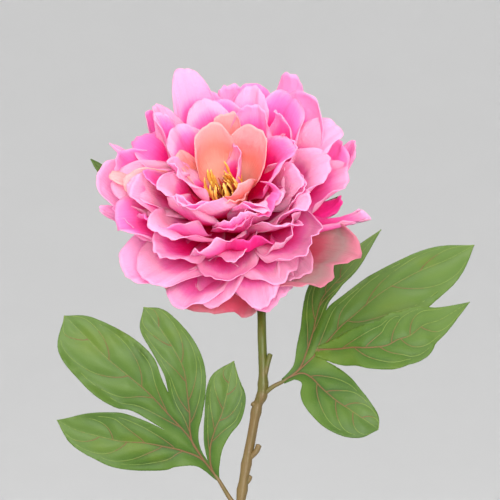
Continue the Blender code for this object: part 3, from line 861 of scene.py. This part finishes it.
def thread_tree():
    """Sets copies of one thread on a ring round the flower's middle, each leaning and turned by chance."""
    tree = NodeTree("thread_tree", Count=("Int", 30), Inner=("Float", 2.0), Outer=("Float", 4.0),
                    Height=("Float", 8.0), Lean=("Float", 0.2), Seed=("Int", 0), Finish=("Material", None))
    given = tree.start.outputs
    number = tree.node("GeometryNodeInputIndex")
    spots = tree.node("GeometryNodePoints", {}, {"Count": given["Count"]})
    even_turn = tree.maths("MULTIPLY", number, math.tau * 0.382)
    turn = tree.maths("ADD", even_turn, tree.chance(-0.2, 0.2, given["Seed"]))
    far = tree.chance(given["Inner"], given["Outer"], tree.maths("ADD", given["Seed"], 1.0))
    place = tree.node("ShaderNodeCombineXYZ", {}, {
        0: tree.maths("MULTIPLY", far, tree.maths("COSINE", turn)),
        1: tree.maths("MULTIPLY", far, tree.maths("SINE", turn)),
        2: given["Height"],
    })
    spots = tree.node("GeometryNodeSetPosition", {}, {"Geometry": spots, "Position": place})
    sway = tree.chance(-0.25, 0.25, tree.maths("ADD", given["Seed"], 2.0))
    spin = tree.chance(-0.7, 0.7, tree.maths("ADD", given["Seed"], 3.0))
    lean = tree.maths("ADD", given["Lean"], sway)
    angles = tree.node("ShaderNodeCombineXYZ", {}, {1: lean, 2: tree.maths("ADD", turn, spin)})
    size = tree.chance(0.8, 1.15, tree.maths("ADD", given["Seed"], 4.0))
    threads = tree.node("GeometryNodeInstanceOnPoints", {}, {
        "Points": spots,
        "Instance": given["Geometry"],
        "Rotation": tree.node("FunctionNodeEulerToRotation", {}, {0: angles}),
        "Scale": tree.node("ShaderNodeCombineXYZ", {}, {0: size, 1: size, 2: size}),
    })
    return tree.end(threads, given["Finish"])


def bent_thread(name, length, curl, widths, thickness):
    """One flat thread that rises from the origin and curls towards the middle, marked along its length."""
    steps = len(widths) - 1
    middle = Vector((0, 0, 0))
    points, marks = [], []
    for k, width in enumerate(widths):
        share = k / steps
        tilt = curl * (share - 0.35)
        if k:
            middle = middle + Vector((-math.sin(tilt), 0, math.cos(tilt))) * length / steps
        thin = Vector((math.cos(tilt), 0, math.sin(tilt))) * thickness / 2 * (1 - 0.5 * share)
        wide = Vector((0, width / 2, 0))
        points += [middle - thin - wide, middle + thin - wide, middle + thin + wide, middle - thin + wide]
        marks += [share] * 4
    faces = [(3, 2, 1, 0), tuple(len(points) - 4 + k for k in range(4))]
    for k in range(steps):
        low = 4 * k
        for side in range(4):
            after = (side + 1) % 4
            faces.append((low + side, low + after, low + 4 + after, low + 4 + side))
    piece = new_piece(name, points, faces, None)
    mark(piece, "along", marks)
    return piece


def into_flower(piece):
    piece.data.transform(flower_frame())
    return piece


def make_middle():
    tree = thread_tree()
    stamen = thread_finish("stamen_threads", dye(244, 160, 50), dye(252, 198, 70), dye(254, 216, 110))
    pistil = thread_finish("pistil_threads", dye(150, 40, 26), dye(140, 30, 26), dye(186, 60, 50))
    outer = bent_thread("stamen_outer", 20.0, 1.0, (0.8, 0.8, 0.9, 1.1, 1.5, 1.7, 1.2, 0.4), 0.5)
    outer = run_tree(outer, tree, Count=30, Inner=3.2, Outer=5.6, Height=7.6, Lean=0.36, Seed=3,
                     Finish=stamen)
    inner = bent_thread("stamen_inner", 15.0, 0.8, (0.7, 0.7, 0.8, 1.0, 1.3, 1.2, 0.5), 0.5)
    inner = run_tree(inner, tree, Count=18, Inner=1.6, Outer=3.4, Height=8.3, Lean=0.12, Seed=8,
                     Finish=stamen)
    stamens = into_flower(joined("stamen_threads", [outer, inner]))
    hand_over(stamens, "stamen", "stamens")
    short = bent_thread("pistil_short", 17.0, 0.5, (1.2, 1.3, 1.2, 1.0, 0.8, 0.9, 0.3), 0.8)
    pistils = run_tree(short, tree, Count=8, Inner=0.6, Outer=2.8, Height=8.5, Lean=0.2, Seed=5,
                       Finish=pistil)
    pistils = into_flower(pistils)
    pistils.name = "pistil_threads"
    hand_over(pistils, "pistil", "pistils")


# --- leaves ----------------------------------------------------------------------------------------

def smooth_line(points, steps):
    """A smooth line through the points, as steps pieces between each two."""
    ends = [2 * points[0] - points[1], *points, 2 * points[-1] - points[-2]]
    line = []
    for before, start, stop, after in zip(ends, ends[1:], ends[2:], ends[3:]):
        first = start + (stop - before) / 6
        second = stop - (after - start) / 6
        line += interpolate_bezier(start.to_3d(), first.to_3d(), second.to_3d(), stop.to_3d(), steps + 1)[:-1]
    return line + [points[-1].to_3d()]


class Lobe:
    """One lobe of a leaf, lying flat: its rib and its half widths to both sides."""

    def __init__(self, rib, left, right, first_vein):
        self.line = smooth_line([Vector((*p, 0)) for p in rib], 10)
        self.widths = {1: self.even(left), -1: self.even(right)}
        self.first_vein = first_vein
        self.length = sum((b - a).length for a, b in zip(self.line, self.line[1:]))

    @staticmethod
    def even(widths):
        return [p.y for p in smooth_line([Vector((k, w, 0)) for k, w in enumerate((*widths, 0))], 8)]

    def rib_point(self, share):
        place = min(max(share, 0), 0.9999) * (len(self.line) - 1)
        low = int(place)
        return self.line[low].lerp(self.line[low + 1], place - low)

    def half_width(self, share, side):
        widths = self.widths[side]
        place = min(max(share, 0), 0.9999) * (len(widths) - 1)
        low = int(place)
        return max(between((widths[low], widths[low + 1]), place - low), 0)

    def at(self, share, across):
        """A point of the lobe: along its rib, and from -1 to 1 across it."""
        ahead = (self.rib_point(share + 0.07) - self.rib_point(share - 0.07)).normalized()
        aside = Vector((-ahead.y, ahead.x, 0))
        side = 1 if across > 0 else -1
        return self.rib_point(share) + aside * across * self.half_width(share, side)

    def outline(self):
        steps = 44
        right = [self.at(k / steps, -1) for k in range(steps)]
        left = [self.at(k / steps, 1) for k in range(steps)]
        return [p.to_2d() for p in [*right, self.line[-1], *left[::-1]]]

    def side_veins(self):
        """Side veins that leave the rib in turn to the left and right, and bend towards the tip."""
        share, side = self.first_vein, 1
        while share < 0.84:
            reach = 0.42 * (1.05 - share * 0.7)
            vein = []
            for k in range(13):
                run = k / 12
                across = side * 0.82 * math.sin(math.pi / 2 * run ** 0.9)
                vein.append(self.at(share + reach * run ** 1.15, across))
            yield vein
            share += VEIN_STEP
            side = -side


def spread_points(outlines, spacing):
    """A grid of points over the outlines' box, in staggered rows."""
    flat = [p for outline in outlines for p in outline]
    low = [min(p[k] for p in flat) for k in (0, 1)]
    high = [max(p[k] for p in flat) for k in (0, 1)]
    columns, rows = (int((high[k] - low[k]) / spacing) for k in (0, 1))
    return [
        Vector((low[0] + (column + 0.5 * (row % 2)) * spacing, low[1] + row * spacing))
        for row in range(rows + 1)
        for column in range(columns + 1)
    ]


def nearest_of(lines):
    """A search tree over points set closely along the lines, and each point's share of its line."""
    places = []
    for line in lines:
        last = len(line) - 1
        for k in range(last):
            for part in range(4):
                places.append((line[k].lerp(line[k + 1], part / 4), (k + part / 4) / last))
    tree = kdtree.KDTree(len(places))
    for k, (place, _) in enumerate(places):
        tree.insert(place.to_3d(), k)
    tree.balance()
    return tree, [share for _, share in places]


class Blade:
    """A leaf's surface over its flat pattern: folded at ribs, raised between veins, wavy at the edge."""

    def __init__(self, base, slope, lobes, seed, forward=0.0):
        self.base = base
        self.slope = slope
        self.lobes = lobes
        self.forward = forward
        self.ribs = [lobe.line for lobe in lobes]
        self.veins = [vein for lobe in lobes for vein in lobe.side_veins()]
        self.rib_tree, self.rib_shares = nearest_of(self.ribs)
        self.vein_tree, _ = nearest_of(self.ribs + self.veins)
        self.seed = seed

    def measure(self, flat):
        """Distance from the nearest rib, share along that rib and distance from the nearest vein."""
        place = flat.to_3d()
        _, index, from_rib = self.rib_tree.find(place)
        return from_rib, self.rib_shares[index], self.vein_tree.find(place)[2]

    def lift(self, flat):
        from_rib, share, from_vein = self.measure(flat)
        slope = self.slope[0] * flat.x + self.slope[1] * flat.y + self.slope[2] * flat.y * abs(flat.y)
        fold = RIB_FOLD * from_rib - 0.0045 * from_rib ** 2
        quilt = QUILT * (1 - math.exp(-((from_vein / 2.4) ** 2)))
        wave = noise.noise(Vector((flat.x * 0.07, flat.y * 0.07, self.seed)))
        wave = wave * (0.8 + (from_rib / 8) ** 2)
        droop = 4.0 * ease((share - 0.55) / 0.45) ** 2
        ahead = self.forward * ease(share * 3)
        return self.base + Vector((flat.x, slope - fold - quilt + wave + droop - ahead, flat.y))


def leaf_sheet(name, blade, finish):
    """The leaf's lobes merged into one flat sheet, then lifted into shape."""
    outlines = [lobe.outline() for lobe in blade.lobes]
    flat, rings = [], []
    for outline in outlines:
        rings.append(list(range(len(flat), len(flat) + len(outline))))
        flat += outline
    inner = spread_points(outlines, LEAF_SPACING)
    spots, _, faces, _, _, _ = delaunay_2d_cdt(flat + inner, [], rings, 1, 0.12)
    used = sorted({k for face in faces for k in face})
    renumber = {old: new for new, old in enumerate(used)}
    points = [blade.lift(spots[k]) * MM for k in used]
    piece = new_piece(name, points, [[renumber[k] for k in face] for face in faces], finish)
    measures = [blade.measure(spots[k]) for k in used]
    mark(piece, "from_vein", [from_vein for _, _, from_vein in measures])
    mark(piece, "tipward", [share for _, share, _ in measures])
    return thicken(piece, LEAF_CLOTH)


def vein_cords(name, blade, tree, finish):
    """Ribs and side veins as fine cords that stand out on both faces of the blade."""
    points, edges, thick, along = [], [], [], []
    lines = [(rib, RIB_RADII, (0.0, 0.75)) for rib in blade.ribs]
    lines += [(vein, VEIN_RADII, (0.25, 1.0)) for vein in blade.veins]
    for line, radii, colours in lines:
        last = len(line) - 1
        for k, place in enumerate(line):
            if k:
                edges.append((len(points) - 1, len(points)))
            points.append(blade.lift(place) * MM)
            thick.append(between(radii, k / last) * MM)
            along.append(between(colours, k / last))
    piece = new_piece(name, points, [], finish, edges)
    mark(piece, "thick", thick)
    mark(piece, "along", along)
    return run_tree(piece, tree, Sides=6, Finish=finish)


def above_lip(place):
    return Vector(place) + LIP / MM


def make_leaves(cloth):
    cords, cord_nodes = vein_cord(), cord_tree()
    left, right = above_lip(LEFT_LEAF_BASE), above_lip(RIGHT_LEAF_BASE)
    blades = {
        "leaf_left": Blade(left, LEFT_LEAF_SLOPE, [Lobe(*row) for row in LEFT_LOBES], 1),
        "leaf_right": Blade(right, RIGHT_LEAF_SLOPE, [Lobe(*row) for row in RIGHT_LOBES], 2),
        "leaf_front": Blade(right, RIGHT_LEAF_SLOPE, [Lobe(*FRONT_LOBE)], 3, FRONT_LOBE_AHEAD),
    }
    for name, blade in blades.items():
        sheet = leaf_sheet(name + "_blade", blade, cloth)
        veins = vein_cords(name + "_veins", blade, cord_nodes, cords)
        node = () if name == "leaf_front" else (name,)
        hand_over(sheet, "leaf", *node)
        hand_over(veins, "leaf")


def make_back_leaf(cloth):
    """The narrow leaf behind the flower, whose tip shows past the petals."""
    rows, columns = 40, 16
    line = interpolate_bezier(*map(above_lip, BACK_LEAF_PATH), rows + 1)
    points, from_vein, tipward = [], [], []
    for k, centre in enumerate(line):
        share = k / rows
        ahead = (line[min(k + 1, rows)] - line[max(k - 1, 0)]).normalized()
        aside = ahead.cross(FLOWER_AXIS).normalized()
        forward = aside.cross(ahead).normalized()
        swell = math.sin(math.pi * share ** 0.85) ** 0.8 + 0.04 if 0 < share < 1 else 0.02
        half = BACK_LEAF_WIDTH / 2 * swell
        for column in range(columns + 1):
            across = 2 * column / columns - 1
            rise = 1.4 * abs(across) + 0.5 * math.sin(9 * share + 3 * across)
            points.append((centre + aside * half * across + forward * rise) * MM)
            from_vein.append(abs(across) * half)
            tipward.append(share)
    piece = new_piece("leaf_back_blade", points, sheet_faces(columns, rows), cloth)
    mark(piece, "from_vein", from_vein)
    mark(piece, "tipward", tipward)
    hand_over(thicken(piece, LEAF_CLOTH), "leaf", "leaf_back")


# --- stem and vase ---------------------------------------------------------------------------------

def moulded_tube(name, path, radii, sides, finish, grooves=0.05):
    """A round tube with rounded ends, faint lengthwise grooves and small lumps."""
    start = path[0] + (path[0] - path[1]).normalized() * radii[0] * 0.4
    stop = path[-1] + (path[-1] - path[-2]).normalized() * radii[-1] * 0.4
    points = [start]
    side = Vector((1, 0, 0))
    for index, (centre, radius) in enumerate(zip(path, radii)):
        ahead = (path[min(index + 1, len(path) - 1)] - path[max(index - 1, 0)]).normalized()
        side = (side - ahead * side.dot(ahead)).normalized()
        other = ahead.cross(side)
        for k in range(sides):
            angle = math.tau * k / sides
            lump = noise.noise(centre * 0.12 + Vector((math.cos(angle), math.sin(angle), 0)) * 0.7)
            wide = radius * (1 + grooves * math.cos(5 * angle + index * 0.01) + 0.07 * lump)
            points.append(centre + wide * (math.cos(angle) * side + math.sin(angle) * other))
    points.append(stop)
    return new_piece(name, [p * MM for p in points], turned_faces(len(path) + 2, sides), finish)


def stem_line():
    """Centre line of the stem, from its foot in the vase to the back of the flower."""
    stem_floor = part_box("stem")[0][2] / MM
    foot = Vector((STEM_FOOT_ACROSS, 0, stem_floor + STEM_RADII[0]))
    halfway = Vector((between((STEM_FOOT_ACROSS, THROAT_ACROSS), 0.7), 0, 0.6 * LIP.z / MM))
    throat = Vector((THROAT_ACROSS, 0, 0.9 * LIP.z / MM))
    centre = FLOWER_CENTRE / MM
    neck = [centre - FLOWER_AXIS * far for far in (17.0, RECEPTACLE_RADIUS + 0.4)]
    return smooth_line([foot, halfway, throat, *map(above_lip, STEM_BENDS), *neck], 8)


def make_stem():
    skin = stem_skin()
    line = stem_line()
    last = len(line) - 1
    knots = [above_lip(place) for place in STEM_KNOTS]
    radii = []
    for k, place in enumerate(line):
        swell = sum(math.exp(-(((place - knot).length / 2.6) ** 2)) for knot in knots)
        radii.append(between(STEM_RADII, k / last) + 0.55 * swell)
    pieces = [moulded_tube("stem_tube", line, radii, 20, skin)]
    for k, (places, radii) in enumerate(BRANCHES):
        path = smooth_line([above_lip(place) for place in places], 6)
        sizes = [between(radii, j / (len(path) - 1)) for j in range(len(path))]
        pieces.append(moulded_tube(f"branch_{k + 1}", path, sizes, 14, skin, 0.03))
    hand_over(joined("stem_moulding", pieces), "stem", "stem")


def vase_profile():
    """Radius and height of the vase's skin, from under the foot, up the outside and down the inside."""
    tall = VASE_TOP / MM
    steps = [Vector((radius, share * tall, 0)) for share, radius in VASE_TURNS]
    outside = smooth_line(steps, 8)
    under = [Vector((*place, 0)) for place in VASE_UNDERSIDE]
    inside = [Vector((p.x - VASE_WALL, p.y, 0)) for p in outside if p.y > VASE_FLOOR + 2.0][::-1]
    lip = [Vector((outside[-1].x - 0.35, tall - 0.25, 0)), Vector((outside[-1].x - VASE_WALL / 2, tall, 0)),
           Vector((inside[0].x + 0.35, tall - 0.25, 0))]
    floor = [Vector((inside[-1].x - 1.2, VASE_FLOOR + 0.8, 0)), Vector((inside[-1].x - 4, VASE_FLOOR, 0)),
             Vector((0, VASE_FLOOR, 0))]
    return [*under, *outside, *lip, *inside, *floor]


def make_vase():
    """A turned bud vase with faint throwing rings on its glaze."""
    steps = 96
    profile = vase_profile()
    points = [Vector((0, 0, profile[0].y))]
    for place in profile[1:-1]:
        ring = 0.06 * math.sin(place.y * 1.9) if 6 < place.y < 150 else 0
        for k in range(steps):
            angle = math.tau * k / steps
            wide = place.x + ring * (1 + 0.4 * math.sin(angle + place.y * 0.05))
            points.append(Vector((wide * math.cos(angle), wide * math.sin(angle), place.y)))
    points.append(Vector((0, 0, profile[-1].y)))
    faces = turned_faces(len(profile), steps)
    piece = new_piece("vase_glazed", [p * MM for p in points], faces, vase_glaze())
    hand_over(piece, "vase", "vase")


# --- stage, light and camera -----------------------------------------------------------------------

def make_stage():
    """A pale floor that curves up into a wall all round."""
    flat, rise, top = 1.4, 2.6, 5.0
    profile = [(0, 0), (flat / 2, 0), (flat, 0)]
    for k in range(1, 17):
        angle = math.pi / 2 * k / 16
        profile.append((flat + rise * math.sin(angle), rise * (1 - math.cos(angle))))
    profile.append((flat + rise, top))
    steps = 96
    points = [(0, 0, profile[0][1])]
    for radius, height in profile[1:]:
        for k in range(steps):
            angle = math.tau * k / steps
            points.append((radius * math.cos(angle), radius * math.sin(angle), height))
    faces = [(0, 1 + k, 1 + (k + 1) % steps) for k in range(steps)]
    for row in range(len(profile) - 2):
        low = 1 + row * steps
        for k in range(steps):
            after = (k + 1) % steps
            faces.append((low + k, low + steps + k, low + steps + after, low + after))
    paper = Finish("studio_paper")
    grain = paper.spots(9.0, 2.0)
    colour = paper.blend(grain, dye(200, 200, 200), dye(203, 203, 203))
    floor = new_piece("studio_floor", points, faces, paper.surface(colour, 0.9 + (grain - 0.5) * 0.05))
    floor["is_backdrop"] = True


def add_light(name, place, target, size, power):
    lamp = bpy.data.lights.new(name, "AREA")
    lamp.shape = "DISK"
    lamp.size = size
    lamp.energy = power
    item = bpy.data.objects.new(name, lamp)
    item.location = place
    item.rotation_euler = (Vector(target) - Vector(place)).to_track_quat("-Z", "Y").to_euler()
    item.visible_camera = False
    bpy.context.scene.collection.objects.link(item)


def light_scene():
    """Soft light from all sides, and three softboxes aimed at the flower."""
    world = bpy.data.worlds.new("soft_room")
    bpy.context.scene.world = world
    world.use_nodes = True
    sky = world.node_tree.nodes["Background"]
    sky.inputs["Color"].default_value = (1, 1, 1, 1)
    sky.inputs["Strength"].default_value = SKY_STRENGTH
    for name, place, size, power in SOFTBOXES:
        add_light(name, place, FLOWER_CENTRE, size, power)


def place_camera():
    """Level view of the flower and leaves. The frame is 250 mm across at the stem."""
    away, across, centre = 1.2, 0.25, Vector((0.014, 0, 0.315))
    camera = bpy.data.cameras.new("camera")
    camera.lens = camera.sensor_width * away / across
    item = bpy.data.objects.new("camera", camera)
    item.location = centre - Vector((0, away, 0))
    item.rotation_euler = (math.pi / 2, 0, 0)
    bpy.context.scene.collection.objects.link(item)
    bpy.context.scene.camera = item


def main():
    cloths = {
        "pink_petal": petal_cloth("pink_cloth", dye(240, 0, 70), dye(252, 0, 130), dye(250, 56, 166),
                                  dye(248, 144, 210), dye(252, 208, 232)),
        "salmon_petal": petal_cloth("salmon_cloth", dye(252, 200, 172), dye(252, 200, 182),
                                    dye(248, 164, 146), dye(250, 182, 180), dye(252, 206, 208)),
        "guard_petal": petal_cloth("guard_cloth", dye(214, 26, 66), dye(230, 60, 100), dye(220, 98, 126),
                                   dye(208, 184, 180), dye(234, 134, 162)),
    }
    leaf = leaf_cloth()
    make_petals(cloths)
    make_folded_tips(cloths)
    make_sepals(leaf)
    make_receptacle()
    make_middle()
    make_leaves(leaf)
    make_back_leaf(leaf)
    make_stem()
    make_vase()
    make_stage()
    light_scene()
    place_camera()


main()
bpy.context.scene.view_settings.view_transform = "Standard"
[[list(corner) for corner in box] for box in (CAD_BOX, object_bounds())]
